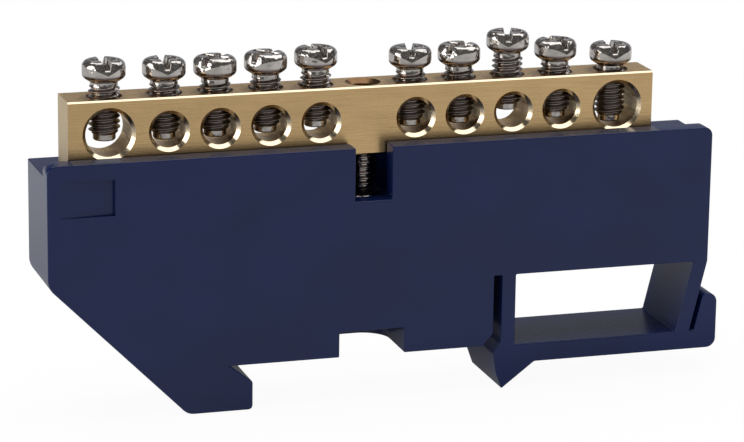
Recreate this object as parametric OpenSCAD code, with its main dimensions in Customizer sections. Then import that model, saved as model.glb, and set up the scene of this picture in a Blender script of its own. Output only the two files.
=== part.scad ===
// Neutral terminal bar: a drilled brass bar with a clamping screw over each wire hole,
// carried by a moulded holder that hooks and latches onto a flat mounting rail.
// Millimetres, +Z up, the bar lies along X and the front faces -Y.
// The origin is on the rail seat, over the middle of the rail, halfway through the depth.

/* [Bar] */
// Height of the brass bar
bar_h = 8.9; // [8:0.1:10]
// Thickness of the brass bar from front to back
bar_t = 5.8; // [5.4:0.1:7]
// Bevel along the long edges of the bar
bar_bevel = 0.2; // [0.1:0.05:0.4]
// How far the fixing screw sits to the right of the holder's middle
bar_shift = 0.15; // [-0.6:0.05:0.6]
// How far the middle of the bar lies to the left of its fixing screw
bar_skew = 0.2; // [-0.5:0.05:0.5]

/* [Wire holes] */
// Distance between neighbouring wire holes
way_pitch = 6.6; // [6:0.1:8]
// Distance between the two wire holes beside the fixing screw
mid_pitch = 12.6; // [11:0.1:16]
// Distance from an end wire hole to its neighbour
end_pitch = 7.7; // [7:0.1:10]
// Distance from an end wire hole to the end of the bar
end_margin = 5.05; // [4.5:0.05:8]
// Depth of the wire holes' middle below the top of the bar
wire_drop = 4.35; // [4:0.05:5]
// Bore of the ordinary wire holes
wire_d = 4.4; // [4.2:0.1:4.8]
// Bore of the large wire hole at each end
end_wire_d = 5.9; // [5.4:0.1:6.4]
// Width of the bevel round each wire hole
wire_bevel = 0.45; // [0.2:0.05:0.5]

/* [Terminal screws] */
// Outer diameter of the thread
thread_d = 4; // [3.6:0.1:4]
// Running clearance of the thread in the bar, on each side
thread_play = 0.05; // [0.02:0.01:0.1]
// Width of the bevel round each tapped hole
tap_bevel = 0.25; // [0.1:0.05:0.4]
// Diameter of the head
head_d = 5.5; // [5.1:0.1:5.8]
// Height of the head
head_h = 2.75; // [2.7:0.05:3.2]
// Radius of the upper edge of the head
crown_r = 0.75; // [0.5:0.05:0.95]
// Height of the head's tapered underside
under_h = 0.65; // [0.6:0.05:0.95]
// Radius between the side of the head and its underside
under_r = 0.8; // [0.6:0.1:1.2]
// Width of the driver slot at the top of the head
slot_w = 1.4; // [1:0.1:1.6]
// Depth of the driver slot
slot_depth = 1.1; // [0.8:0.1:1.3]
// Length of the cross recess that lies across the slot
cross_l = 3.2; // [2.6:0.1:3.6]
// Width of the cross recess at the top of the head
cross_w = 1.1; // [0.9:0.1:1.4]
// Depth of the cross recess
cross_depth = 1.5; // [1.2:0.1:1.7]
// Diameter of the plain neck under the head
neck_d = 3.2; // [2.8:0.1:3.2]
// Height of the plain neck under the head
neck_h = 0.3; // [0.2:0.05:0.6]
// Diameter of the plain point at the screw's end
point_d = 3; // [2.4:0.1:3.1]
// Length of the plain point
point_l = 1.2; // [0.6:0.1:1.4]
// Bevel at the end of the point
point_bevel = 0.15; // [0.1:0.05:0.3]
// Space left between a driven screw and the floor of its wire hole
tip_gap = 0.1; // [0.05:0.05:0.3]
// Space left between the head of a driven end screw and the bar
seat_gap = 0.55; // [0.3:0.05:0.8]

/* [Fixing screw] */
// Outer diameter of the fixing screw's thread
fix_d = 4; // [3.6:0.1:4.4]
// Play of the fixing screw in the holder, on each side
fix_play = 0.7; // [0.65:0.05:0.8]
// Diameter of the fixing screw's head
fix_head_d = 7; // [6.8:0.1:7.2]
// Height of the fixing screw's head
fix_head_h = 2.6; // [2.2:0.1:3]
// Radius of the crown of the fixing screw's head
fix_crown_r = 1.2; // [0.8:0.1:1.6]
// Bevel at the end of the fixing screw
fix_bevel = 0.5; // [0.2:0.1:0.8]
// Length of the cross recess in the fixing screw's head
fix_cross_l = 4; // [3:0.1:4.6]
// Depth of the fixing screw's end below the top of the bar
fix_recess = 1.25; // [1:0.05:3]
// Bore of the fixing screw's hole above the end of its thread
fix_drill_d = 3.4; // [3:0.1:3.6]
// Width of the bevel where that hole opens in the top of the bar
fix_mouth = 0.6; // [0.3:0.05:0.7]

/* [Rail] */
// Width of the mounting rail
rail_w = 35; // [34:0.1:36]
// Thickness of the rail's lip
rail_t = 1; // [0.8:0.1:1.2]
// Angle of the hook's inner slope below the rail seat
hook_slope = 38; // [33:1:45]
// How far the hook reaches under the rail
hook_grip = 1.65; // [1:0.05:2.5]
// How far the latch reaches under the rail before it springs back
latch_grip = 0.9; // [0.5:0.05:1]

/* [Holder] */
// Height of the ledge that carries the bar, above the rail seat
ledge_z = 25.85; // [23:0.05:30]
// How far the front plate stands above the ledge
plate_rise = 1.65; // [1.4:0.05:2.4]
// Thickness of the front plate
plate_t = 2.7; // [2.2:0.1:3.2]
// Space between the front plate and the bar
bar_front = 0.4; // [0.2:0.05:1]
// Width of the ledge behind the bar
bar_rear = 2.9; // [2.4:0.05:3.4]
// How far the holder runs past the left end of the bar
left_over = 3.35; // [2:0.05:6]
// How far the holder runs past the right end of the bar
right_over = 7.5; // [5:0.1:10]
// Thickness of the moulded walls
wall_t = 2.1; // [1.6:0.1:2.4]
// Thickness of the ribs behind the front plate
rib_t = 1.5; // [1:0.1:2]
// Widest bay between two ribs
bay_max = 8; // [6:0.5:8.5]
// How far the hook and the latch reach below the rail seat
foot_drop = 6; // [5:0.1:8]
// Width of the hook's underside
hook_w = 8.5; // [6.5:0.1:10]
// Slope of the slanted wall at the lower left
flank_angle = 45; // [40:1:50]
// Radius of the front plate's upper corners
plate_r = 1.15; // [0.6:0.05:1.3]
// Radius where the left wall meets the slanted wall
flank_r = 2.5; // [1:0.1:4]
// Radius where the slanted wall meets the hook's underside
heel_r = 2; // [1:0.1:3]
// Radius of the hook's two inner corners
hook_r = 0.55; // [0.2:0.05:0.8]

/* [Screw wells] */
// Width of the notch in the front plate
notch_w = 4.9; // [4:0.1:6]
// Depth of the notch below the ledge
notch_depth = 5.35; // [4:0.05:6]
// Width of the wells round the fixing screw
well_w = 8.7; // [8.5:0.1:10]
// Radius of the rear corners of the wells
well_r = 3.5; // [1:0.1:4]
// Space in front of and behind the fixing screw's head in its well
head_play = 0.35; // [0.2:0.05:0.6]
// Depth of the upper well below the ledge
upper_well = 6.1; // [5.6:0.1:8]
// Height of the lower well above the rail seat
lower_well = 8.35; // [7:0.05:11]
// Height of the lower well's opening in the front plate
arch_h = 3.35; // [2:0.05:5]

/* [Sunken panel] */
// Width of the sunken panel
panel_w = 6.9; // [4:0.1:10]
// Height of the sunken panel
panel_h = 4.65; // [3:0.05:8]
// Depth of the sunken panel
panel_depth = 0.3; // [0.1:0.05:0.6]
// Distance of the sunken panel from the left edge
panel_left = 1.7; // [1:0.1:6]
// Distance of the sunken panel from the upper edge
panel_top = 2.1; // [1.5:0.1:6]

/* [Latch] */
// Height above the rail seat at which the latch leaves the holder
latch_z = 9.4; // [7:0.1:12]
// Width of the slot between the foot and the latch
latch_gap = 1.1; // [0.8:0.05:1.3]
// Clearance between the rail's edge and the latch's post
post_clear = 0.1; // [0:0.05:0.4]
// Thickness of the latch's post
post_t = 1.9; // [1.4:0.1:2.6]
// Thickness of the latch's leg, measured along X
leg_t = 2; // [1.4:0.1:2.6]
// Lean of the latch's leg
leg_lean = 13.3; // [8:0.1:18]
// Thickness of the latch's lever
lever_t = 2.5; // [1.8:0.1:3]
// How far the lever's upper face lies below the rail seat
lever_drop = 0.1; // [0:0.05:1]
// Height of the pull tab above the rail seat
tab_h = 4.9; // [3:0.1:7]
// How far the pull tab stands out past the holder's right end
tab_over = 1.55; // [1:0.05:4]
// Width of the slot between the leg and the pull tab
tab_gap = 0.65; // [0.5:0.05:1.5]
// Radius of the pull tab's inner upper corner
tab_inner_r = 0.6; // [0.3:0.1:0.8]
// Radius of the pull tab's outer corners
tab_outer_r = 1.3; // [0.6:0.1:1.4]
// Depth of the barb's crest below the underside of the rail's lip
crest_drop = 0.25; // [0.1:0.05:0.6]
// How far the barb's throat stands back from its crest
throat_back = 0.9; // [0.5:0.05:1.2]
// Slope of the barb's upper face, which draws the holder down onto the rail
barb_slope = 60; // [50:1:65]
// How far the barb's tip stands back from its crest
tip_back = 1.2; // [0.8:0.1:2]
// How far the middle of the barb's lead-in stands back from its crest
lead_back = 0.4; // [0.2:0.05:0.6]
// Depth of the middle of the lead-in below the rail seat
lead_drop = 3.8; // [3:0.1:4.4]
// Width of the barb where it leaves the lever
barb_w = 5.7; // [4.5:0.1:8]
// Width of the bevel at the foot beside the latch
foot_bevel_w = 1.4; // [0.8:0.1:2]
// Height of the bevel at the foot beside the latch
foot_bevel_h = 1.6; // [0.8:0.1:2.4]

/* [Hidden] */
$fn = 96;
// Overshoot of cuts past the faces that they open
over = 1;
// Overlap by which the latch is moulded into the holder
join = 1;
// Driver recesses narrow to this share of their width at the floor
recess_taper = 0.62;
// How far each terminal screw is backed off from its lowest place, from left to right
backed_off = [1.3, 0.2, 0.15, 0.35, 0.65, 0.1, 0.1, 1.5, 0.1, 0.05];
// Angle from +X of each screw's driver slot, from left to right
slot_angle = [86, 85, 42, 39, 99, 77, 40, 73, 103, 83];

ways = len(backed_off);
half_ways = ways / 2;
steps = half_ways - 2;
bar_l = mid_pitch + 2 * (steps * way_pitch + end_pitch + end_margin);
depth = plate_t + bar_front + bar_t + bar_rear;
front_y = -depth / 2;
rear_y = depth / 2;
plate_y = front_y + plate_t;
bar_y = plate_y + bar_front + bar_t / 2;
bar_top = ledge_z + bar_h;
well_reach = fix_head_d / 2 + head_play;
hole_z = bar_top - wire_drop;
plate_z = ledge_z + plate_rise;
bar_left = bar_shift - bar_skew - bar_l / 2;
left_x = bar_left - left_over;
right_x = bar_left + bar_l + right_over;

tip_r = point_d / 2 - point_bevel;
screw_l = deepest_tip(end_wire_d) + seat_gap;
fix_l = bar_top - fix_recess - lower_well;

hook_x = -rail_w / 2 - rail_t / tan(hook_slope);
hook_face_x = -rail_w / 2 + hook_grip;
hook_lip_z = -(hook_face_x - hook_x) * tan(hook_slope);
heel_x = hook_face_x - hook_w;
flank_z = (heel_x - left_x) * tan(flank_angle) - foot_drop;

post_x = rail_w / 2 + post_clear;
gap_x = post_x - latch_gap;
crest_x = rail_w / 2 - latch_grip;
crest_z = -rail_t - crest_drop;
throat_z = crest_z + throat_back * tan(barb_slope);
lever_z = -lever_drop;
lever_bottom = lever_z - lever_t;
tab_x = right_x + tab_over;
window_x = post_x + post_t;

function screw_name(i) = str("terminal_screw_", i);

// Distance of a wire hole from the middle of the bar, counted outwards from 1
function way_offset(k) =
    k < half_ways ? mid_pitch / 2 + (k - 1) * way_pitch : mid_pitch / 2 + steps * way_pitch + end_pitch;

// Place of wire hole i along X, counted from the left end
function way_x(i) =
    bar_shift + (i <= half_ways ? -way_offset(half_ways + 1 - i) : way_offset(i - half_ways));

function way_d(i) = i == 1 || i == ways ? end_wire_d : wire_d;

// Depth below the bar's top that a screw's end can reach in a wire hole of bore d
function deepest_tip(d) = wire_drop + sqrt(pow(d / 2, 2) - pow(tip_r, 2)) - tip_gap;

// Height of a terminal screw's neck above the bar's top
function lift(i) = screw_l - deepest_tip(way_d(i)) + backed_off[i - 1];

// Place along X of the outer face of the latch's leg at height z
function leg_x(z) = right_x - (latch_z - z) * tan(leg_lean);

// Place along X of the inner face of the slanted wall at height z
function flank_x(z) = heel_x - (z + foot_drop) / tan(flank_angle) + wall_t / sin(flank_angle);

function corner_angle(a, p, b) = acos((a - p) * (b - p) / norm(a - p) / norm(b - p));

// Point at distance d from p on the way to q
function towards(p, q, d) = p + (q - p) * d / norm(q - p);

// What an arc of radius r takes off the corner p between the points a and b
module corner_waste(a, p, b, r) {
    half = corner_angle(a, p, b) / 2;
    start = towards(p, a, r / tan(half));
    end = towards(p, b, r / tan(half));
    centre = towards(p, (start + end) / 2, r / sin(half));
    difference() {
        polygon([start, 2 * p - centre, end, centre]);
        translate(centre) circle(r);
    }
}

// Outline through the points, with an arc at each corner whose radius isn't zero
module rounded(points, radii) {
    n = len(points);
    difference() {
        polygon(points);
        for (i = [0 : n - 1])
            if (radii[i] > 0)
                corner_waste(points[(i + n - 1) % n], points[i], points[(i + 1) % n], radii[i]);
    }
}

// Stands a profile drawn in X and Z upright, from the front at y0 to the back at y1
module upright(y0, y1) {
    translate([0, y1, 0])
        rotate([90, 0, 0])
            linear_extrude(y1 - y0) children();
}

module box(low, high) {
    translate(low) cube(high - low);
}

// Side view of the holder's block with the two feet and the hook
module body_profile() {
    rounded(
        [
            [left_x, plate_z],
            [right_x, plate_z],
            [right_x, latch_z],
            [gap_x, latch_z],
            [gap_x, foot_bevel_h],
            [gap_x - foot_bevel_w, 0],
            [hook_x, 0],
            [hook_face_x, hook_lip_z],
            [hook_face_x, -foot_drop],
            [heel_x, -foot_drop],
            [left_x, flank_z]
        ],
        [plate_r, plate_r, 0, 0, 0, 0, 0, hook_r, hook_r, heel_r, flank_r]
    );
}

// Side view of the latch: post with barb, lever, pull tab and leaning leg round a window
module latch_profile() {
    difference() {
        rounded(
            [
                [post_x, latch_z + join],
                [right_x, latch_z + join],
                [right_x, latch_z],
                [leg_x(lever_z), lever_z],
                [leg_x(lever_z) + tab_gap, lever_z],
                [leg_x(tab_h) + tab_gap, tab_h],
                [tab_x, tab_h],
                [tab_x, lever_bottom],
                [crest_x + barb_w, lever_bottom],
                [crest_x + tip_back, -foot_drop],
                [crest_x + lead_back, -lead_drop],
                [crest_x, crest_z],
                [crest_x + throat_back, throat_z],
                [post_x, throat_z + join]
            ],
            [0, 0, 0, 0, 0, tab_inner_r, tab_outer_r, tab_outer_r, 0, 0, 0, 0, 0, 0]
        );
        polygon([
            [window_x, lever_z],
            [leg_x(lever_z) - leg_t, lever_z],
            [right_x - leg_t, latch_z],
            [window_x, latch_z]
        ]);
    }
}

// Plan of a screw well: straight sides from the front at y0, rounded corners at the back
module well_plan(y0) {
    half = well_w / 2;
    back = bar_y + well_reach;
    rounded([[-half, y0], [half, y0], [half, back], [-half, back]], [0, 0, well_r, well_r]);
}

module well(y0, z0, z1) {
    translate([0, 0, z0]) linear_extrude(z1 - z0) well_plan(y0);
}

// Side views of the hollow behind the front plate, left and right of the screw wells
module left_hollow() {
    inner = left_x + wall_t;
    side = -well_w / 2 - wall_t;
    polygon([
        [inner, ledge_z - wall_t],
        [inner, (flank_x(-foot_drop) - inner) * tan(flank_angle) - foot_drop],
        [flank_x(wall_t), wall_t],
        [side, wall_t],
        [side, ledge_z - wall_t]
    ]);
}

module right_hollow() {
    inner = right_x - wall_t;
    side = well_w / 2 + wall_t;
    polygon([
        [side, ledge_z - wall_t],
        [side, wall_t],
        [gap_x - wall_t, wall_t],
        [gap_x - wall_t, latch_z + wall_t],
        [inner, latch_z + wall_t],
        [inner, ledge_z - wall_t]
    ]);
}

// Upright bays of equal width between x0 and x1, with a rib between neighbours
module bays(x0, x1) {
    count = ceil((x1 - x0 + rib_t) / (bay_max + rib_t));
    pitch = (x1 - x0 + rib_t) / count;
    for (i = [0 : count - 1])
        translate([x0 + i * pitch, 0]) square([pitch - rib_t, ledge_z]);
}

// The pockets cored out of the holder from behind
module pockets() {
    upright(plate_y, rear_y + over) {
        intersection() {
            left_hollow();
            bays(left_x + wall_t, -well_w / 2 - wall_t);
        }
        intersection() {
            right_hollow();
            bays(well_w / 2 + wall_t, right_x - wall_t);
        }
    }
}

module holder() {
    color("#262b49")
        difference() {
            upright(front_y, rear_y) {
                body_profile();
                latch_profile();
            }
            // Ledge behind the front plate
            box([left_x - over, plate_y, ledge_z], [right_x + over, rear_y + over, plate_z + over]);
            // Notch in the front plate and the well behind it
            box(
                [-notch_w / 2, front_y - over, ledge_z - notch_depth],
                [notch_w / 2, plate_y + over, plate_z + over]
            );
            well(plate_y, ledge_z - upper_well, ledge_z + over);
            // Lower well for the fixing screw's head, and its opening in the front plate
            well(min(plate_y, bar_y - well_reach), -over, lower_well);
            box([-well_w / 2, front_y - over, -over], [well_w / 2, plate_y + over, arch_h]);
            // Hole for the fixing screw
            translate([0, bar_y, lower_well - over])
                cylinder(d = fix_d + 2 * fix_play, h = ledge_z - lower_well);
            // Sunken panel at the upper left of the front
            box(
                [left_x + panel_left, front_y - over, plate_z - panel_top - panel_h],
                [left_x + panel_left + panel_w, front_y + panel_depth, plate_z - panel_top]
            );
            pockets();
        }
}

// Bevelled section of the bar, in Y and Z
module bar_section() {
    y = bar_t / 2;
    polygon([
        [-y + bar_bevel, 0],
        [y - bar_bevel, 0],
        [y, bar_bevel],
        [y, bar_h - bar_bevel],
        [y - bar_bevel, bar_h],
        [-y + bar_bevel, bar_h],
        [-y, bar_h - bar_bevel],
        [-y, bar_bevel]
    ]);
}

// Bore of diameter d along +Z from z = 0 to h, with a bevelled mouth at h
module mouthed_bore(d, h, bevel) {
    translate([0, 0, -over]) cylinder(d = d, h = h + 2 * over);
    translate([0, 0, h - bevel]) cylinder(d1 = d, d2 = d + 2 * (bevel + over), h = bevel + over);
}

// Wire hole through the bar from front to back, bevelled at both faces
module wire_hole(d) {
    for (side = [-90, 90])
        rotate([side, 0, 0]) mouthed_bore(d, bar_t / 2, wire_bevel);
}

module terminal_bar() {
    tap_d = thread_d + 2 * thread_play;
    fix_tap_d = fix_d + 2 * thread_play;
    color("#b39a63")
        difference() {
            translate([bar_left, bar_y, ledge_z])
                rotate([90, 0, 90]) linear_extrude(bar_l) bar_section();
            for (i = [1 : ways])
                translate([way_x(i), bar_y, hole_z]) {
                    wire_hole(way_d(i));
                    translate([0, 0, over]) mouthed_bore(tap_d, wire_drop - over, tap_bevel);
                }
            translate([bar_shift, bar_y, ledge_z]) {
                translate([0, 0, -over]) cylinder(d = fix_tap_d, h = bar_h - fix_recess + tip_gap + over);
                mouthed_bore(fix_drill_d, bar_h, fix_mouth);
            }
        }
}

// Straight driver recess along X with narrowing walls, cut down from z = 0
module driver_recess(l, w, d) {
    floor_w = w * recess_taper;
    mouth_w = w + (w - floor_w) * over / d;
    rotate([90, 0, 90])
        translate([0, 0, -l / 2])
            linear_extrude(l)
                polygon([
                    [-floor_w / 2, -d],
                    [floor_w / 2, -d],
                    [mouth_w / 2, over],
                    [-mouth_w / 2, over]
                ]);
}

// Half section of a terminal screw, from the top of its head down to the point
module screw_section() {
    head_r = head_d / 2;
    neck_r = neck_d / 2;
    thread_r = thread_d / 2;
    point_r = point_d / 2;
    shoulder_z = -screw_l + point_l;
    rounded(
        [
            [0, head_h],
            [head_r, head_h],
            [head_r, under_h],
            [neck_r, 0],
            [neck_r, -neck_h],
            [thread_r, -neck_h - thread_r + neck_r],
            [thread_r, shoulder_z + thread_r - point_r],
            [point_r, shoulder_z],
            [point_r, -screw_l + point_bevel],
            [tip_r, -screw_l],
            [0, -screw_l]
        ],
        [0, crown_r, under_r, 0, 0, 0, 0, 0, 0, 0, 0]
    );
}

// Half section of the fixing screw, from the crown of its head up to its end
module fix_section() {
    head_r = fix_head_d / 2;
    shank_r = fix_d / 2;
    rounded(
        [
            [0, -fix_head_h],
            [head_r, -fix_head_h],
            [head_r, 0],
            [shank_r, 0],
            [shank_r, fix_l - fix_bevel],
            [shank_r - fix_bevel, fix_l],
            [0, fix_l]
        ],
        [0, fix_crown_r, 0, 0, 0, 0, 0]
    );
}

// A terminal screw with its neck at the origin and its slot along X
module slotted_screw() {
    difference() {
        rotate_extrude() screw_section();
        translate([0, 0, head_h]) {
            driver_recess(head_d + 2 * over, slot_w, slot_depth);
            for (turn = [0, 90])
                rotate(turn) driver_recess(cross_l, cross_w, cross_depth);
        }
    }
}

module terminal_screw(i) {
    color("#c9c8c4")
        translate([way_x(i), bar_y, bar_top + lift(i)])
            rotate(slot_angle[i - 1]) slotted_screw();
}

// The screw that comes up through the holder and draws the bar onto the ledge
module fixing_screw() {
    color("#c4c3bf")
        translate([bar_shift, bar_y, lower_well])
            difference() {
                rotate_extrude() fix_section();
                translate([0, 0, -fix_head_h])
                    mirror([0, 0, 1])
                        for (turn = [0, 90])
                            rotate(turn) driver_recess(fix_cross_l, cross_w, cross_depth);
            }
}

holder();
terminal_bar();
fixing_screw();
for (i = [1 : ways])
    terminal_screw(i);
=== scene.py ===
"""Looks of a neutral terminal bar: moulded holder, drilled brass bar and plated screws.

Lengths are in metres. The bar lies along X, the front faces -Y and +Z is up.
"""

import math

import bmesh
import bpy
from bpy.props import FloatProperty, FloatVectorProperty, IntProperty, PointerProperty
from mathutils import Matrix, Vector


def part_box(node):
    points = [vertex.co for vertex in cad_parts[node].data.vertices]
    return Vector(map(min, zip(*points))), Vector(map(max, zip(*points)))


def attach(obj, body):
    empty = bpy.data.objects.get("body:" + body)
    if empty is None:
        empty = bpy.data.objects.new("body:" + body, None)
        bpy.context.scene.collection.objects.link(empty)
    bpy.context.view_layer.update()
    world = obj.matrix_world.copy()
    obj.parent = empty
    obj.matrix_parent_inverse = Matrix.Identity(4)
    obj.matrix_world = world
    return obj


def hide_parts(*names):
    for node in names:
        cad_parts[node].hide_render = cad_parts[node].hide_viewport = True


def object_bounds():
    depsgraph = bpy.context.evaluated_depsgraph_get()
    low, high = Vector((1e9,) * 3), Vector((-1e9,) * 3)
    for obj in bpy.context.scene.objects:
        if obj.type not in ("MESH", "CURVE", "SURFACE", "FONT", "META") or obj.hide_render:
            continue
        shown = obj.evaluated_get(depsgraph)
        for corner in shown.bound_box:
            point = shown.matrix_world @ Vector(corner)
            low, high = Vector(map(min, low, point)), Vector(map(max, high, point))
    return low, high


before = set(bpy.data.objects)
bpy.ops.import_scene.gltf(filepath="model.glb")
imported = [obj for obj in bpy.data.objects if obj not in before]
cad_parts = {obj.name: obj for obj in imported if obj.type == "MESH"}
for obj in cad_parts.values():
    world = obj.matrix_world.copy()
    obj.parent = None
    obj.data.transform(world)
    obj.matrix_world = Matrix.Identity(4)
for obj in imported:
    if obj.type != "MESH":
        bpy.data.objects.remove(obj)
CAD_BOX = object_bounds()

bl_info = {
    "name": "Neutral Terminal Bar",
    "version": (1, 0, 0),
    "blender": (4, 5, 0),
    "location": "3D View > Sidebar > Terminal Bar",
    "description": "Finishes a drilled brass terminal bar on its moulded rail holder",
    "category": "Object",
}

MM = 0.001
BASE = "bar_on_holder"
SCREWS = sorted(
    (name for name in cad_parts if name.startswith("terminal_screw_")),
    key=lambda name: int(name.rsplit("_", 1)[1]),
)
# Angle from +X of each terminal screw's driver slot, from left to right
SLOT_ANGLES = (89, 87, 42, 39, 102, 77, 40, 73, 103, 83)

UP = (0, 0, 1)
# Vertices closer than this are one
MERGE = 1e-7

# Height of the front plate's top above the bar's underside
PLATE_TOP = 1.65 * MM
# Distance from the bar's axis to where its bevels begin
BEVEL_START = 2.4 * MM
# Depth of the sunken panel: in the solid, and here at its left and right ends
PANEL_DEPTH = 0.3 * MM
PANEL_LEFT_DEPTH = 0.08 * MM
PANEL_RIGHT_DEPTH = 0.6 * MM
# A vertex this close to a plane lies in it
ON_PLANE = 0.01 * MM

WHITE = (1.0, 1.0, 1.0, 1.0)
SHEEN_PLASTIC = (0.05, 0.052, 0.078, 1.0)
SAWN_BRASS = (0.6, 0.58, 0.5, 1.0)
HIGHLIGHT_BRASS = (0.94, 0.82, 0.62, 1.0)
SHADED_HOLE_BRASS = (0.12, 0.05, 0.028, 1.0)
SHADED_PLATING = (0.15, 0.11, 0.1, 1.0)
STUDIO_LOW = (0.12, 0.12, 0.12, 1.0)
STUDIO_HIGH = (0.06, 0.06, 0.06, 1.0)
STUDIO_CLUTTER = (0.34, 0.33, 0.32, 1.0)
STUDIO_WALL = (0.38, 0.39, 0.43, 1.0)

# Place and axes of the camera
CAMERA_PLACE = (-0.123818, -0.397914, 0.127338)
CAMERA_RIGHT = (0.954723, -0.297192, 0.013471)
CAMERA_UP = (0.064054, 0.249572, 0.966236)
CAMERA_BACK = (-0.290519, -0.921624, 0.257308)


class HolderFinish(bpy.types.PropertyGroup):
    """Edges and finish of the moulded holder."""

    edge: FloatProperty(
        name="Edge radius",
        description="Width of the rounding along the moulding's sharp edges",
        default=0.16 * MM,
        min=0.02 * MM,
        max=0.4 * MM,
        precision=5,
        unit="LENGTH",
    )
    colour: FloatVectorProperty(
        name="Plastic colour",
        description="Colour of the moulded plastic",
        default=(0.0032, 0.01, 0.056, 1.0),
        size=4,
        min=0.0,
        max=1.0,
        subtype="COLOR",
    )
    roughness: FloatProperty(
        name="Roughness",
        description="Roughness of the moulded surface",
        default=0.2,
        min=0.05,
        max=0.9,
        subtype="FACTOR",
    )


class BarFinish(bpy.types.PropertyGroup):
    """Finish of the drawn brass bar."""

    colour: FloatVectorProperty(
        name="Brass colour",
        description="Colour of the brushed brass",
        default=(0.83, 0.57, 0.28, 1.0),
        size=4,
        min=0.0,
        max=1.0,
        subtype="COLOR",
    )
    roughness: FloatProperty(
        name="Roughness",
        description="Roughness of the brushed faces",
        default=0.26,
        min=0.05,
        max=0.9,
        subtype="FACTOR",
    )


class ScrewSizes(bpy.types.PropertyGroup):
    """Sizes and finish of the screws."""

    head_radius: FloatProperty(
        name="Head radius",
        description="Radius of a terminal screw's head",
        default=2.75 * MM,
        min=2.4 * MM,
        max=3 * MM,
        precision=5,
        unit="LENGTH",
    )
    head_height: FloatProperty(
        name="Head height",
        description="Height of a terminal screw's head above its neck",
        default=2.75 * MM,
        min=2.4 * MM,
        max=3.2 * MM,
        precision=5,
        unit="LENGTH",
    )
    crown: FloatProperty(
        name="Crown radius",
        description="Radius of the upper edge of a terminal screw's head",
        default=0.82 * MM,
        min=0.4 * MM,
        max=1.2 * MM,
        precision=5,
        unit="LENGTH",
    )
    slot_width: FloatProperty(
        name="Slot width",
        description="Width of the driver slot at the top of the head",
        default=1.0 * MM,
        min=0.6 * MM,
        max=1.6 * MM,
        precision=5,
        unit="LENGTH",
    )
    slot_depth: FloatProperty(
        name="Slot depth",
        description="Depth of the driver slot",
        default=0.95 * MM,
        min=0.5 * MM,
        max=1.5 * MM,
        precision=5,
        unit="LENGTH",
    )
    cross_length: FloatProperty(
        name="Cross length",
        description="Length of the cross recess that lies across the slot",
        default=3.2 * MM,
        min=2 * MM,
        max=4 * MM,
        precision=5,
        unit="LENGTH",
    )
    cross_width: FloatProperty(
        name="Cross width",
        description="Width of the cross recess at the top of the head",
        default=1.1 * MM,
        min=0.6 * MM,
        max=1.4 * MM,
        precision=5,
        unit="LENGTH",
    )
    cross_depth: FloatProperty(
        name="Cross depth",
        description="Depth of the cross recess",
        default=1.5 * MM,
        min=0.8 * MM,
        max=1.8 * MM,
        precision=5,
        unit="LENGTH",
    )
    pitch: FloatProperty(
        name="Thread pitch",
        description="Distance between neighbouring turns of the threads",
        default=0.7 * MM,
        min=0.5 * MM,
        max=1 * MM,
        precision=5,
        unit="LENGTH",
    )
    crest: FloatProperty(
        name="Thread radius",
        description="Outer radius of the threads",
        default=2 * MM,
        min=1.5 * MM,
        max=2.2 * MM,
        precision=5,
        unit="LENGTH",
    )
    root: FloatProperty(
        name="Root radius",
        description="Radius at the bottom of the threads",
        default=1.58 * MM,
        min=1.3 * MM,
        max=1.9 * MM,
        precision=5,
        unit="LENGTH",
    )
    colour: FloatVectorProperty(
        name="Plating colour",
        description="Colour of the bright plating",
        default=(0.65, 0.61, 0.575, 1.0),
        size=4,
        min=0.0,
        max=1.0,
        subtype="COLOR",
    )
    roughness: FloatProperty(
        name="Roughness",
        description="Roughness of the bright plating",
        default=0.12,
        min=0.02,
        max=0.6,
        subtype="FACTOR",
    )
    spokes: IntProperty(
        name="Spokes",
        description="Faces round a screw's head",
        default=192,
        min=48,
        max=256,
    )


class StageSettings(bpy.types.PropertyGroup):
    """Light and camera."""

    overhead: FloatProperty(
        name="Overhead light",
        description="Power of the soft light above the bar",
        default=2.0,
        min=0.0,
        max=20.0,
        subtype="POWER",
    )
    side: FloatProperty(
        name="Side light",
        description="Power of the soft light at the left",
        default=0.95,
        min=0.0,
        max=20.0,
        subtype="POWER",
    )
    room: FloatProperty(
        name="Room light",
        description="Strength of the even light from all round",
        default=0.55,
        min=0.0,
        max=2.0,
    )
    near_floor: FloatProperty(
        name="Floor in front",
        description="Brightness that the metal mirrors from the floor in front",
        default=0.52,
        min=0.0,
        max=1.0,
        subtype="FACTOR",
    )
    far_floor: FloatProperty(
        name="Floor behind",
        description="Brightness that the metal mirrors from the floor behind",
        default=0.65,
        min=0.0,
        max=1.0,
        subtype="FACTOR",
    )
    lens: FloatProperty(
        name="Focal length",
        description="Focal length of the camera in millimetres",
        default=161.68,
        min=20.0,
        max=400.0,
        subtype="DISTANCE_CAMERA",
    )


def feed(tree, socket, value):
    """Links a socket to another, or sets its value."""
    if isinstance(value, bpy.types.NodeSocket):
        tree.links.new(value, socket)
    else:
        socket.default_value = value


def add_node(tree, kind, inputs=(), **settings):
    """Adds a shader node with its settings and inputs."""
    made = tree.nodes.new("ShaderNode" + kind)
    for key, value in settings.items():
        setattr(made, key, value)
    for key, value in dict(inputs).items():
        feed(tree, made.inputs[key], value)
    return made


def math_of(tree, operation, *values):
    """Output of a Math node."""
    made = add_node(tree, "Math", dict(enumerate(values)), operation=operation)
    return made.outputs[0]


def mix_colours(tree, share, first, second):
    """Output of a colour mix from first to second."""
    made = add_node(tree, "Mix", data_type="RGBA")
    feed(tree, made.inputs[0], share)
    feed(tree, made.inputs[6], first)
    feed(tree, made.inputs[7], second)
    return made.outputs[2]


def spread(tree, value, low, high, to_low=0.0, to_high=1.0):
    """Value mapped from one range onto another, and kept inside it."""
    names = ("Value", "From Min", "From Max", "To Min", "To Max")
    made = add_node(tree, "MapRange", zip(names, (value, low, high, to_low, to_high)), clamp=True)
    return made.outputs["Result"]


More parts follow.
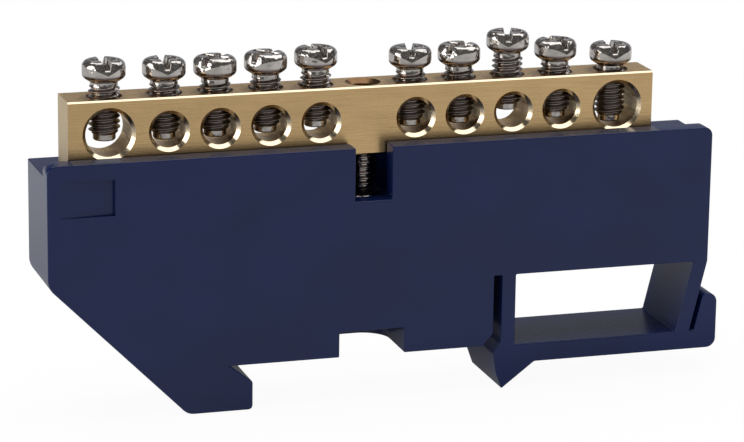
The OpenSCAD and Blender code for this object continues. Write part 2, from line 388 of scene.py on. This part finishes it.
def streak_group():
    """Shared effect: noise that is stretched by a scale along each axis."""
    name = "surface_streaks"
    group = bpy.data.node_groups.get(name)
    if group:
        return group
    group = bpy.data.node_groups.new(name, "ShaderNodeTree")
    group.interface.new_socket("Scale", in_out="INPUT", socket_type="NodeSocketVector")
    group.interface.new_socket("Detail", in_out="INPUT", socket_type="NodeSocketFloat")
    group.interface.new_socket("Streaks", in_out="OUTPUT", socket_type="NodeSocketFloat")
    start = group.nodes.new("NodeGroupInput")
    end = group.nodes.new("NodeGroupOutput")
    place = add_node(group, "TexCoord")
    stretched = add_node(
        group,
        "VectorMath",
        {0: place.outputs["Object"], 1: start.outputs["Scale"]},
        operation="MULTIPLY",
    )
    noise = add_node(
        group,
        "TexNoise",
        {
            "Vector": stretched.outputs[0],
            "Scale": 1.0,
            "Detail": start.outputs["Detail"],
            "Roughness": 0.6,
        },
    )
    group.links.new(noise.outputs["Fac"], end.inputs["Streaks"])
    return group


def streaks(tree, scale, detail):
    """Places the streak effect in a material, with its scale per metre along X, Y and Z."""
    made = tree.nodes.new("ShaderNodeGroup")
    made.node_tree = streak_group()
    made.inputs["Scale"].default_value = scale
    made.inputs["Detail"].default_value = detail
    return made.outputs["Streaks"]


def new_material(name):
    """New material with an empty node tree but for its shader."""
    material = bpy.data.materials.new(name)
    material.use_nodes = True
    shader = material.node_tree.nodes["Principled BSDF"]
    return material, material.node_tree, shader


def plastic_material(finish, rest):
    """Dark blue moulded plastic with a satin gloss, and a painted sheen on the plate's top along the
    bar whose box is given.
    """
    material, tree, shader = new_material("moulded_plastic")
    grain = streaks(tree, (2600.0, 2600.0, 2600.0), 3.0)
    flow = streaks(tree, (70.0, 70.0, 110.0), 2.0)
    paler = [min(1.0, 1.25 * part) for part in finish.colour[:3]] + [1.0]
    colour = mix_colours(tree, spread(tree, flow, 0.3, 0.7), finish.colour, paler)
    rough = spread(tree, grain, 0.3, 0.7, finish.roughness - 0.02, finish.roughness + 0.04)
    face = add_node(tree, "NewGeometry")
    facing = add_node(tree, "SeparateXYZ", {0: face.outputs["True Normal"]}).outputs["Z"]
    upward = spread(tree, facing, 0.8, 0.95)
    place = add_node(tree, "TexCoord")
    parts = add_node(tree, "SeparateXYZ", {0: place.outputs["Object"]})
    # A painted sheen makes the top of the front plate paler along the bar
    low, high = rest
    middle, half_length = (low.x + high.x) / 2, (high.x - low.x) / 2
    at_top = math_of(tree, "COMPARE", parts.outputs["Z"], low.z + PLATE_TOP, 0.2 * MM)
    on_bar = math_of(tree, "COMPARE", parts.outputs["X"], middle, half_length)
    top_sheen = math_of(tree, "MULTIPLY", upward, math_of(tree, "MULTIPLY", at_top, on_bar))
    feed(tree, shader.inputs["Base Color"], mix_colours(tree, top_sheen, colour, SHEEN_PLASTIC))
    dusty = math_of(tree, "MULTIPLY", math_of(tree, "SUBTRACT", upward, top_sheen), 0.07)
    feed(tree, shader.inputs["Roughness"], math_of(tree, "ADD", rough, dusty))
    shader.inputs["Specular IOR Level"].default_value = 0.4
    bump = add_node(tree, "Bump", {"Strength": 0.025, "Distance": 0.02 * MM, "Height": grain})
    feed(tree, shader.inputs["Normal"], bump.outputs["Normal"])
    return material


def brass_material(finish, low, high):
    """Drawn brass, brushed along X, with sawn ends, polished bevels painted paler as a highlight, and
    painted shade in the tapped holes.
    """
    material, tree, shader = new_material("brushed_brass")
    brushed = streaks(tree, (180.0, 9000.0, 9000.0), 4.0)
    cloudy = streaks(tree, (160.0, 420.0, 420.0), 3.0)
    sawn = streaks(tree, (3500.0, 3500.0, 3500.0), 3.0)
    face = add_node(tree, "NewGeometry")
    turned = add_node(
        tree,
        "VectorTransform",
        {0: face.outputs["True Normal"]},
        vector_type="NORMAL",
        convert_from="WORLD",
        convert_to="OBJECT",
    )
    parts = add_node(tree, "SeparateXYZ", {0: turned.outputs[0]})
    along, across, upright = (math_of(tree, "ABSOLUTE", parts.outputs[way]) for way in "XYZ")
    at_end = spread(tree, along, 0.9, 0.98)
    place = add_node(tree, "TexCoord")
    spot = add_node(tree, "SeparateXYZ", {0: place.outputs["Object"]})
    from_axis = math_of(tree, "SUBTRACT", spot.outputs["Y"], (low.y + high.y) / 2)
    off_axis = math_of(tree, "ABSOLUTE", from_axis)
    at_face = math_of(tree, "GREATER_THAN", off_axis, BEVEL_START)
    bevelled = math_of(tree, "MULTIPLY", math_of(tree, "COMPARE", across, 0.7, 0.12), at_face)
    # The tapped holes get painted shade, but not the top and the ends round them
    tapped = math_of(tree, "GREATER_THAN", spot.outputs["Z"], high.z - 1.2 * MM)
    for value, limit in ((off_axis, BEVEL_START), (upright, 0.95), (along, 0.99)):
        tapped = math_of(tree, "MULTIPLY", tapped, math_of(tree, "LESS_THAN", value, limit))
    marks = add_node(tree, "Mix", {0: at_end, 2: brushed, 3: sawn}, data_type="FLOAT").outputs[0]
    dull = [part * 0.78 for part in finish.colour[:3]] + [1.0]
    tarnish = spread(tree, cloudy, 0.35, 0.75, 0.0, 0.5)
    colour = mix_colours(tree, tarnish, finish.colour, dull)
    scored = mix_colours(tree, spread(tree, marks, 0.55, 0.8, 0.0, 0.35), colour, dull)
    greyer = mix_colours(tree, spread(tree, at_end, 0.0, 1.0, 0.0, 0.6), scored, SAWN_BRASS)
    # The bevels are polished smoother, and their paler colour is a painted highlight
    paler = mix_colours(tree, math_of(tree, "MULTIPLY", bevelled, 0.7), greyer, HIGHLIGHT_BRASS)
    # Painted shade darkens the tapped holes
    hole_shade = mix_colours(tree, math_of(tree, "MULTIPLY", tapped, 0.85), paler, SHADED_HOLE_BRASS)
    feed(tree, shader.inputs["Base Color"], hole_shade)
    shader.inputs["Metallic"].default_value = 1.0
    shader.inputs["Anisotropic"].default_value = 0.7
    brushing = add_node(tree, "Tangent", direction_type="RADIAL", axis="X")
    ways = {0: at_end, 4: brushing.outputs["Tangent"], 5: (0.0, 1.0, 0.0)}
    grain = add_node(tree, "Mix", ways, data_type="VECTOR")
    feed(tree, shader.inputs["Tangent"], grain.outputs[1])
    rough = spread(tree, marks, 0.3, 0.7, finish.roughness - 0.04, finish.roughness + 0.08)
    rough = math_of(tree, "ADD", rough, math_of(tree, "MULTIPLY", at_end, 0.4))
    rough = math_of(tree, "SUBTRACT", rough, math_of(tree, "MULTIPLY", bevelled, 0.15))
    feed(tree, shader.inputs["Roughness"], rough)
    relief = math_of(tree, "MULTIPLY", marks, math_of(tree, "SUBTRACT", 1.0, bevelled))
    bump = add_node(tree, "Bump", {"Strength": 0.3, "Distance": 0.03 * MM, "Height": relief})
    feed(tree, shader.inputs["Normal"], bump.outputs["Normal"])
    return material


def plating_material(sizes):
    """Bright plating with stains, tool marks and dents, and painted shade on the shank and
    underneath.
    """
    material, tree, shader = new_material("bright_plating")
    stains = streaks(tree, (700.0, 700.0, 700.0), 3.0)
    marks = streaks(tree, (2500.0, 2500.0, 5000.0), 3.0)
    dull = [part * 0.78 for part in sizes.colour[:3]] + [1.0]
    colour = mix_colours(tree, spread(tree, stains, 0.4, 0.75), sizes.colour, dull)
    face = add_node(tree, "NewGeometry")
    facing = add_node(tree, "SeparateXYZ", {0: face.outputs["Normal"]}).outputs["Z"]
    # Painted shade: on faces that look down, and along the shank as its attribute gives it
    under = spread(tree, facing, 0.0, -0.3, 0.0, 0.9)
    shank_shade = add_node(tree, "Attribute", attribute_name="shank").outputs["Fac"]
    painted_shade = math_of(tree, "MAXIMUM", under, math_of(tree, "MULTIPLY", shank_shade, 0.55))
    feed(tree, shader.inputs["Base Color"], mix_colours(tree, painted_shade, colour, SHADED_PLATING))
    shader.inputs["Metallic"].default_value = 1.0
    rough = spread(tree, stains, 0.3, 0.7, sizes.roughness - 0.03, sizes.roughness + 0.08)
    rough = math_of(tree, "ADD", rough, math_of(tree, "MULTIPLY", shank_shade, 0.22))
    feed(tree, shader.inputs["Roughness"], rough)
    bump = add_node(tree, "Bump", {"Strength": 0.12, "Distance": 0.03 * MM, "Height": marks})
    dents = streaks(tree, (1300.0, 1300.0, 1300.0), 1.0)
    dented = add_node(
        tree,
        "Bump",
        {"Strength": 0.6, "Distance": 0.2 * MM, "Height": dents, "Normal": bump.outputs["Normal"]},
    )
    feed(tree, shader.inputs["Normal"], dented.outputs["Normal"])
    return material


def shared_plating(sizes):
    """The plating that all the screws share."""
    return bpy.data.materials.get("bright_plating") or plating_material(sizes)


def new_piece(name, bm, material, sharp=35):
    """Object made from a bmesh, smooth but for edges sharper than an angle in degrees."""
    mesh = bpy.data.meshes.new(name)
    bm.to_mesh(mesh)
    bm.free()
    mesh.materials.clear()
    mesh.materials.append(material)
    mesh.shade_smooth()
    mesh.set_sharp_from_angle(angle=math.radians(sharp))
    piece = bpy.data.objects.new(name, mesh)
    bpy.context.scene.collection.objects.link(piece)
    return piece


def stand_for(piece, node, body):
    """Puts a piece in a CAD node's place."""
    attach(piece, body)
    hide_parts(node)


def line(bm, tip, end, steps=1):
    """Draws a straight run of edges from the vertex tip to a point, and returns its last vertex."""
    start = tip.co.copy()
    for step in range(1, steps + 1):
        tip = bmesh.ops.extrude_vert_indiv(bm, verts=[tip])["verts"][0]
        tip.co = start.lerp(Vector(end), step / steps)
    return tip


def arc(bm, tip, centre, angle, steps):
    """Draws an arc about a line along Y, and returns its last vertex."""
    made = bmesh.ops.spin(
        bm, geom=[tip], cent=centre, axis=(0, 1, 0), angle=math.radians(angle), steps=steps
    )
    return next(part for part in made["geom_last"] if isinstance(part, bmesh.types.BMVert))


def turn(bm, spokes):
    """Turns a drawn half section into a body round Z."""
    bmesh.ops.spin(
        bm,
        geom=bm.verts[:] + bm.edges[:],
        cent=(0, 0, 0),
        axis=UP,
        angle=math.tau,
        steps=spokes,
        use_merge=True,
    )
    bmesh.ops.remove_doubles(bm, verts=bm.verts, dist=MERGE)
    bmesh.ops.recalc_face_normals(bm, faces=bm.faces)


def smooth_min(first, second, blend):
    """Lower of two heights, rounded where they meet."""
    near = max(blend - abs(first - second), 0.0) / blend
    return min(first, second) - near * near * blend / 4


def score(bm, axis, places):
    """Cuts edges into a mesh at distances from the middle along an axis, on both sides."""
    for place in places:
        for side in (-place, place):
            bmesh.ops.bisect_plane(
                bm,
                geom=bm.verts[:] + bm.edges[:] + bm.faces[:],
                dist=MERGE,
                plane_co=Vector(axis) * side,
                plane_no=axis,
            )


def press_recess(bm, top, width, length, depth, narrowing, blend):
    """Presses a driver recess along X down into a head whose top is at a height."""
    half_floor = width * narrowing / 2
    slope = depth / (width / 2 - half_floor)
    score(bm, (0, 1, 0), (half_floor, width / 2, width / 2 + blend / slope))
    for vert in bm.verts:
        outside = max(abs(vert.co.y) - half_floor, abs(vert.co.x) - length / 2, 0.0)
        vert.co.z = smooth_min(vert.co.z, top - depth + outside * slope, blend)


def press_slot(bm, top, sizes):
    """Presses the driver slot along X, with two ends that are pressed out to a wide V."""
    press_recess(
        bm,
        top,
        width=sizes.slot_width,
        length=4 * sizes.head_radius,
        depth=sizes.slot_depth,
        narrowing=0.62,
        blend=0.36 * MM,
    )
    end_depth, spread_slope, inward_slope, blend = 1.6 * MM, 0.48, 2.4, 0.35 * MM
    for vert in bm.verts:
        inward = sizes.head_radius - vert.co.xy.length
        limit = top - end_depth + spread_slope * abs(vert.co.y) + inward_slope * inward
        vert.co.z = smooth_min(vert.co.z, limit, blend)


def press_cross(bm, top, sizes, length):
    """Presses a cross recess into a head whose top is at a height."""
    quarter = Matrix.Rotation(math.radians(90), 3, "Z")
    for _ in range(2):
        press_recess(
            bm,
            top,
            width=sizes.cross_width,
            length=length,
            depth=sizes.cross_depth,
            narrowing=0.62,
            blend=0.2 * MM,
        )
        bmesh.ops.rotate(bm, matrix=quarter, verts=bm.verts)


def terminal_head(sizes, neck_radius, under, under_radius):
    """Head of a terminal screw with its neck at the origin and its slot along X."""
    bm = bmesh.new()
    top = sizes.head_height
    side = sizes.head_radius
    flat = side - sizes.crown
    tip = bm.verts.new((0, 0, top))
    tip = line(bm, tip, (flat, 0, top), steps=34)
    tip = arc(bm, tip, (flat, 0, top - sizes.crown), angle=90, steps=18)
    # The side runs into the tapered underside through a radius
    lean = math.atan2(side - neck_radius, under)
    reach = under_radius * math.tan(lean / 2)
    centre = (side - under_radius, 0, under + reach)
    tip = line(bm, tip, (side, 0, under + reach), steps=8)
    tip = arc(bm, tip, centre, angle=math.degrees(lean), steps=12)
    tip = line(bm, tip, (neck_radius, 0, 0), steps=2)
    # A stub of the neck reaches into the thread
    stub = -0.5 * MM
    tip = line(bm, tip, (neck_radius, 0, stub))
    line(bm, tip, (0, 0, stub))
    turn(bm, sizes.spokes)
    press_slot(bm, top, sizes)
    press_cross(bm, top, sizes, sizes.cross_length)
    return bm


# Section of one turn of a thread: share of the pitch, and share of the thread's depth
TURN = (
    (0.0, 0.0),
    (0.06, 0.0),
    (0.1, 0.06),
    (0.26, 0.47),
    (0.42, 0.9),
    (0.46, 1.0),
    (0.54, 1.0),
    (0.58, 0.9),
    (0.74, 0.47),
    (0.9, 0.06),
    (0.94, 0.0),
    (1.0, 0.0),
)


def threaded_rod(sizes, upper, lower, upper_radius, lower_radius, run_out, facets=64):
    """Right-hand thread round Z between two heights, running out to a radius at each end."""
    bm = bmesh.new()
    pitch = sizes.pitch
    tip = bm.verts.new((sizes.root, 0, lower - 2 * pitch))
    for share, depth in TURN[1:]:
        radius = sizes.root + (sizes.crest - sizes.root) * depth
        tip = line(bm, tip, (radius, 0, lower + (share - 2) * pitch))
    turns = math.ceil((upper - lower) / pitch) + 3
    bmesh.ops.spin(
        bm,
        geom=bm.verts[:] + bm.edges[:],
        cent=(0, 0, 0),
        axis=UP,
        dvec=(0, 0, pitch / facets),
        angle=turns * math.tau,
        steps=turns * facets,
    )
    bmesh.ops.remove_doubles(bm, verts=bm.verts, dist=MERGE)
    for height, normal in ((upper, UP), (lower, (0, 0, -1))):
        cut = bmesh.ops.bisect_plane(
            bm,
            geom=bm.verts[:] + bm.edges[:] + bm.faces[:],
            dist=1e-8,
            plane_co=(0, 0, height),
            plane_no=normal,
            clear_outer=True,
        )
        rim = [part for part in cut["geom_cut"] if isinstance(part, bmesh.types.BMEdge)]
        bmesh.ops.edgeloop_fill(bm, edges=rim)
    for vert in bm.verts:
        radius = vert.co.xy.length
        limit = min(upper_radius + run_out * (upper - vert.co.z), lower_radius + vert.co.z - lower)
        if radius > limit:
            vert.co.xy *= limit / radius
    bmesh.ops.recalc_face_normals(bm, faces=bm.faces)
    return bm


def plain_rod(radius, upper, lower, bevel):
    """Plain round rod with bevelled ends."""
    bm = bmesh.new()
    tip = bm.verts.new((0, 0, upper))
    tip = line(bm, tip, (radius - bevel, 0, upper))
    tip = line(bm, tip, (radius, 0, upper - bevel))
    tip = line(bm, tip, (radius, 0, lower + bevel))
    tip = line(bm, tip, (radius - bevel, 0, lower))
    line(bm, tip, (0, 0, lower))
    turn(bm, spokes=96)
    return bm


def join_solids(name, parts, material):
    """One mesh from the union of several closed solids."""
    piece = new_piece(name, parts[0], material)
    others = [new_piece(name + "_part", part, material) for part in parts[1:]]
    for other in others:
        union = piece.modifiers.new("union", "BOOLEAN")
        union.operation = "UNION"
        union.solver = "EXACT"
        union.object = other
    depsgraph = bpy.context.evaluated_depsgraph_get()
    mesh = bpy.data.meshes.new_from_object(piece.evaluated_get(depsgraph))
    for used in [piece, *others]:
        bpy.data.objects.remove(used)
    bm = bmesh.new()
    bm.from_mesh(mesh)
    bpy.data.meshes.remove(mesh)
    bmesh.ops.remove_doubles(bm, verts=bm.verts, dist=MERGE)
    return bm


def gap_filler():
    """Block that closes a slit 0.1 mm wide at the back, under the first bay over the latch."""
    low = Vector((14.2, -3.4, 2.0)) * MM
    high = Vector((14.6 * MM, CAD_BOX[1].y, 11.5 * MM))
    place = Matrix.LocRotScale((low + high) / 2, None, high - low)
    bm = bmesh.new()
    bmesh.ops.create_cube(bm, size=1.0, matrix=place)
    return bm


def lean_panel(bm):
    """Leans the floor of the sunken panel, shallow at its left, and returns the panel's corners."""
    front = CAD_BOX[0].y
    floor = [vert for vert in bm.verts if abs(vert.co.y - front - PANEL_DEPTH) < ON_PLANE]
    low = Vector(min(vert.co[i] for vert in floor) for i in range(3))
    high = Vector(max(vert.co[i] for vert in floor) for i in range(3))
    for vert in floor:
        share = (vert.co.x - low.x) / (high.x - low.x)
        vert.co.y = front + PANEL_LEFT_DEPTH + (PANEL_RIGHT_DEPTH - PANEL_LEFT_DEPTH) * share
    return Vector((low.x, front, low.z)), Vector((high.x, front + PANEL_RIGHT_DEPTH, high.z))


def in_panel(vert, panel):
    """Whether a vertex belongs to the sunken panel."""
    low, high = panel
    return all(low[i] - ON_PLANE < vert.co[i] < high[i] + ON_PLANE for i in range(3))


class TERMINALBAR_OT_holder(bpy.types.Operator):
    """Leans the holder's panel, rounds the holder's edges and gives it its plastic"""

    bl_idname = "terminal_bar.finish_holder"
    bl_label = "Finish Holder"

    def execute(self, context):
        finish = context.scene.holder_finish
        bm = bmesh.new()
        bm.from_mesh(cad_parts["holder"].data)
        bmesh.ops.remove_doubles(bm, verts=bm.verts, dist=1e-6)
        material = plastic_material(finish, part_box("terminal_bar"))
        bm = join_solids("holder_pattern", [bm, gap_filler()], material)
        panel = lean_panel(bm)
        bmesh.ops.dissolve_limit(
            bm,
            angle_limit=math.radians(0.5),
            verts=bm.verts,
            edges=bm.edges,
            use_dissolve_boundaries=False,
        )
        # Edges are rounded where they are sharper than an angle, but not in the panel
        limit = math.radians(25)
        sharp = [edge for edge in bm.edges if edge.is_manifold and edge.calc_face_angle() > limit]
        sharp = [edge for edge in sharp if not all(in_panel(vert, panel) for vert in edge.verts)]
        bmesh.ops.bevel(
            bm,
            geom=sharp,
            offset=finish.edge,
            offset_type="OFFSET",
            segments=2,
            profile=0.5,
            affect="EDGES",
            clamp_overlap=False,
            material=-1,
        )
        piece = new_piece("moulded_holder", bm, material)
        shading = piece.modifiers.new("even_shading", "WEIGHTED_NORMAL")
        shading.keep_sharp = True
        stand_for(piece, "holder", BASE)
        return {"FINISHED"}


class TERMINALBAR_OT_bar(bpy.types.Operator):
    """Gives the drilled bar its brushed brass"""

    bl_idname = "terminal_bar.finish_bar"
    bl_label = "Finish Bar"

    def execute(self, context):
        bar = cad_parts["terminal_bar"]
        bar.data.materials.clear()
        bar.data.materials.append(brass_material(context.scene.bar_finish, *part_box("terminal_bar")))
        return {"FINISHED"}


class TERMINALBAR_OT_terminal_screws(bpy.types.Operator):
    """Makes the terminal screws with their pressed slots and rolled threads"""

    bl_idname = "terminal_bar.make_terminal_screws"
    bl_label = "Make Terminal Screws"

    def execute(self, context):
        sizes = context.scene.screw_sizes
        material = shared_plating(sizes)
        low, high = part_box(SCREWS[0])
        length = high.z - low.z - sizes.head_height
        # The thread ends at a shoulder above the plain point
        shoulder = -length + 0.8 * MM
        head = terminal_head(
            sizes, neck_radius=1.75 * MM, under=0.65 * MM, under_radius=0.8 * MM
        )
        thread = threaded_rod(
            sizes,
            upper=-0.3 * MM,
            lower=shoulder,
            upper_radius=1.66 * MM,
            lower_radius=1.5 * MM,
            run_out=0.7,
        )
        point = plain_rod(
            radius=1.44 * MM, upper=shoulder + 0.3 * MM, lower=-length, bevel=0.15 * MM
        )
        pattern = join_solids("screw_pattern", [head, thread, point], material)
        # Painted shade on the plating, which also makes it rougher: a little at the neck, most along
        # the thread, less at the point
        shank = pattern.verts.layers.float.new("shank")
        for vert in pattern.verts:
            below = -vert.co.z / MM
            neck = 0.35 * min(max(below, 0.0) / 0.4, 1.0)
            vert[shank] = max(neck, min((below - 1.2) / 1.5, 1.0))
            if vert.co.z < shoulder + 0.02 * MM:
                vert[shank] = 0.3
        for name, angle in zip(SCREWS, SLOT_ANGLES):
            low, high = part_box(name)
            middle = (low + high) / 2
            place = Vector((middle.x, middle.y, high.z - sizes.head_height))
            bm = pattern.copy()
            bmesh.ops.transform(
                bm,
                matrix=Matrix.Translation(place) @ Matrix.Rotation(math.radians(angle), 4, "Z"),
                verts=bm.verts,
            )
            number = name.rsplit("_", 1)[1]
            piece = new_piece("slotted_screw_" + number, bm, material, sharp=40)
            stand_for(piece, name, "screw_" + number)
        pattern.free()
        return {"FINISHED"}


class TERMINALBAR_OT_fixing_screw(bpy.types.Operator):
    """Makes the fixing screw that holds the bar down"""

    bl_idname = "terminal_bar.make_fixing_screw"
    bl_label = "Make Fixing Screw"

    def execute(self, context):
        sizes = context.scene.screw_sizes
        material = shared_plating(sizes)
        low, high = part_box("fixing_screw")
        middle = (low + high) / 2
        radius = (high.x - low.x) / 2
        height, crown, edge = 2.6 * MM, 1.2 * MM, 0.1 * MM
        length = high.z - low.z - height
        head = bmesh.new()
        tip = head.verts.new((0, 0, height))
        tip = line(head, tip, (radius - crown, 0, height), steps=34)
        tip = arc(head, tip, (radius - crown, 0, height - crown), angle=90, steps=12)
        tip = line(head, tip, (radius, 0, edge))
        tip = line(head, tip, (radius - edge, 0, 0))
        line(head, tip, (0, 0, 0))
        turn(head, spokes=128)
        press_cross(head, height, sizes, length=4 * MM)
        thread = threaded_rod(
            sizes,
            upper=0.1 * MM,
            lower=-length,
            upper_radius=2 * MM,
            lower_radius=1.55 * MM,
            run_out=1.0,
        )
        collar = plain_rod(
            radius=2.35 * MM, upper=-11.4 * MM, lower=-11.85 * MM, bevel=0.2 * MM
        )
        bm = join_solids("fixing_pattern", [head, thread, collar], material)
        # The head is at the bottom
        over = Matrix.Rotation(math.pi, 4, "X")
        place = Matrix.Translation((middle.x, middle.y, low.z + height)) @ over
        bmesh.ops.transform(bm, matrix=place, verts=bm.verts)
        piece = new_piece("threaded_fixing_screw", bm, material, sharp=40)
        stand_for(piece, "fixing_screw", BASE)
        return {"FINISHED"}


def seen_straight(tree, path):
    """Mask of what the camera sees directly or through glass."""
    return math_of(
        tree, "MAXIMUM", path.outputs["Is Camera Ray"], path.outputs["Is Transmission Ray"]
    )


def floor_material(settings):
    """White floor that shows as the background, keeps a soft shadow and is clear from below."""
    material, tree, shader = new_material("white_floor")
    shader.inputs["Base Color"].default_value = (0.85, 0.85, 0.85, 1.0)
    shader.inputs["Roughness"].default_value = 0.9
    shader.inputs["Specular IOR Level"].default_value = 0.0
    path = add_node(tree, "LightPath")
    place = add_node(tree, "TexCoord")
    parts = add_node(tree, "SeparateXYZ", {0: place.outputs["Object"]})
    mirrored = spread(tree, parts.outputs["Y"], -0.2, 0.2, settings.near_floor, settings.far_floor)
    # The light falls more on the right of the floor than on the left
    sideways = spread(tree, parts.outputs["X"], 0.0, 0.095, 0.95, 1.15)
    mirrored = math_of(tree, "MULTIPLY", mirrored, sideways)
    # The object shades the floor right behind it, round a point
    shade = (0.045, 0.075, 0.0)
    ends = {0: place.outputs["Object"], 1: shade}
    away = add_node(tree, "VectorMath", ends, operation="DISTANCE")
    shaded = spread(tree, away.outputs["Value"], 0.065, 0.11, 0.06, 1.0)
    mirrored = math_of(tree, "MULTIPLY", mirrored, shaded)
    seen = seen_straight(tree, path)
    colour = mix_colours(tree, seen, mirrored, WHITE)
    glow = add_node(tree, "Emission", {"Color": colour, "Strength": 1.0})
    shown = math_of(tree, "MAXIMUM", seen, path.outputs["Is Glossy Ray"])
    share = math_of(tree, "MULTIPLY", shown, 0.95)
    mixed = add_node(tree, "MixShader", {0: share, 1: shader.outputs[0], 2: glow.outputs[0]})
    # From below, the floor is clear
    below = add_node(tree, "NewGeometry").outputs["Backfacing"]
    clear = add_node(tree, "BsdfTransparent")
    sided = add_node(tree, "MixShader", {0: below, 1: mixed.outputs[0], 2: clear.outputs[0]})
    end = tree.nodes["Material Output"]
    tree.links.new(sided.outputs[0], end.inputs["Surface"])
    return material


def soft_light(name, place, target, size, power):
    """Rectangular area light that faces a point."""
    light = bpy.data.lights.new(name, "AREA")
    light.shape = "RECTANGLE"
    light.size, light.size_y = size
    light.energy = power
    lamp = bpy.data.objects.new(name, light)
    bpy.context.scene.collection.objects.link(lamp)
    lamp.location = place
    lamp.rotation_euler = (Vector(target) - Vector(place)).to_track_quat("-Z", "Y").to_euler()


def set_world(room):
    """White background, even light, and a dim studio above the horizon for the metal to mirror."""
    world = bpy.data.worlds.new("studio")
    world.use_nodes = True
    tree = world.node_tree
    tree.nodes.clear()
    path = add_node(tree, "LightPath")
    place = add_node(tree, "TexCoord")
    parts = add_node(tree, "SeparateXYZ", {0: place.outputs["Generated"]})
    height = spread(tree, parts.outputs["Z"], 0.0, 0.4)
    dim = mix_colours(tree, height, STUDIO_LOW, STUDIO_HIGH)
    # Paler things stand about in the studio
    blots = {"Vector": place.outputs["Generated"], "Scale": 6.0, "Detail": 2.0}
    clutter = add_node(tree, "TexNoise", blots).outputs["Fac"]
    dim = mix_colours(tree, spread(tree, clutter, 0.48, 0.66, 0.0, 0.6), dim, STUDIO_CLUTTER)
    # A paler wall stands low behind the object, at the right
    wall = spread(tree, parts.outputs["Y"], 0.2, 0.7)
    wall = math_of(tree, "MULTIPLY", wall, spread(tree, parts.outputs["X"], -0.2, 0.25))
    wall = math_of(tree, "MULTIPLY", wall, spread(tree, parts.outputs["Z"], 0.36, 0.2))
    mirrored = mix_colours(tree, wall, dim, STUDIO_WALL)
    lit = mix_colours(tree, path.outputs["Is Glossy Ray"], (room, room, room, 1.0), mirrored)
    colour = mix_colours(tree, seen_straight(tree, path), lit, WHITE)
    sky = add_node(tree, "Background", {"Color": colour, "Strength": 1.0})
    end = tree.nodes.new("ShaderNodeOutputWorld")
    tree.links.new(sky.outputs[0], end.inputs["Surface"])
    bpy.context.scene.world = world


class TERMINALBAR_OT_stage(bpy.types.Operator):
    """Sets the floor, the soft light and the camera"""

    bl_idname = "terminal_bar.set_stage"
    bl_label = "Set Stage"

    def execute(self, context):
        settings = context.scene.stage_settings
        # The floor lies just clear of the holder's lowest faces
        height = CAD_BOX[0].z - 0.05 * MM
        bm = bmesh.new()
        bmesh.ops.create_grid(bm, x_segments=1, y_segments=1, size=3.0)
        bmesh.ops.translate(bm, vec=(0, 0, height), verts=bm.verts)
        floor = new_piece("floor", bm, floor_material(settings))
        soft_light(
            "overhead",
            place=(0.18, 0.08, 0.42),
            target=(0.18, 0.08, 0),
            size=(0.73, 0.55),
            power=settings.overhead,
        )
        soft_light(
            "side",
            place=(-0.5, -0.06, 0.17),
            target=(0, 0, 0.02),
            size=(0.36, 0.32),
            power=settings.side,
        )
        set_world(settings.room)
        camera = bpy.data.cameras.new("camera")
        camera.sensor_width = 36.0
        camera.sensor_fit = "HORIZONTAL"
        camera.lens = settings.lens
        camera.clip_start = 0.01
        camera.clip_end = 20.0
        view = bpy.data.objects.new("camera", camera)
        context.scene.collection.objects.link(view)
        turned = Matrix((CAMERA_RIGHT, CAMERA_UP, CAMERA_BACK)).transposed()
        view.matrix_world = Matrix.Translation(CAMERA_PLACE) @ turned.to_4x4()
        context.scene.camera = view
        context.scene.view_settings.view_transform = "Standard"
        return {"FINISHED"}


class TERMINALBAR_PT_panel(bpy.types.Panel):
    """Sizes, finishes and steps of the terminal bar"""

    bl_idname = "TERMINALBAR_PT_panel"
    bl_label = "Terminal Bar"
    bl_space_type = "VIEW_3D"
    bl_region_type = "UI"
    bl_category = "Terminal Bar"

    def draw(self, context):
        for group in (
            context.scene.holder_finish,
            context.scene.bar_finish,
            context.scene.screw_sizes,
            context.scene.stage_settings,
        ):
            column = self.layout.column(align=True)
            for key in group.__annotations__:
                column.prop(group, key)
        for step in STEPS:
            self.layout.operator(step.bl_idname)


GROUPS = {
    "holder_finish": HolderFinish,
    "bar_finish": BarFinish,
    "screw_sizes": ScrewSizes,
    "stage_settings": StageSettings,
}
STEPS = (
    TERMINALBAR_OT_holder,
    TERMINALBAR_OT_bar,
    TERMINALBAR_OT_terminal_screws,
    TERMINALBAR_OT_fixing_screw,
    TERMINALBAR_OT_stage,
)


def register():
    for made in (*GROUPS.values(), *STEPS, TERMINALBAR_PT_panel):
        bpy.utils.register_class(made)
    for name, group in GROUPS.items():
        setattr(bpy.types.Scene, name, PointerProperty(type=group))


def unregister():
    for name in GROUPS:
        delattr(bpy.types.Scene, name)
    for made in reversed((*GROUPS.values(), *STEPS, TERMINALBAR_PT_panel)):
        bpy.utils.unregister_class(made)


def main():
    register()
    bpy.ops.terminal_bar.finish_holder()
    bpy.ops.terminal_bar.finish_bar()
    bpy.ops.terminal_bar.make_terminal_screws()
    bpy.ops.terminal_bar.make_fixing_screw()
    bpy.ops.terminal_bar.set_stage()


if __name__ == "__main__":
    main()
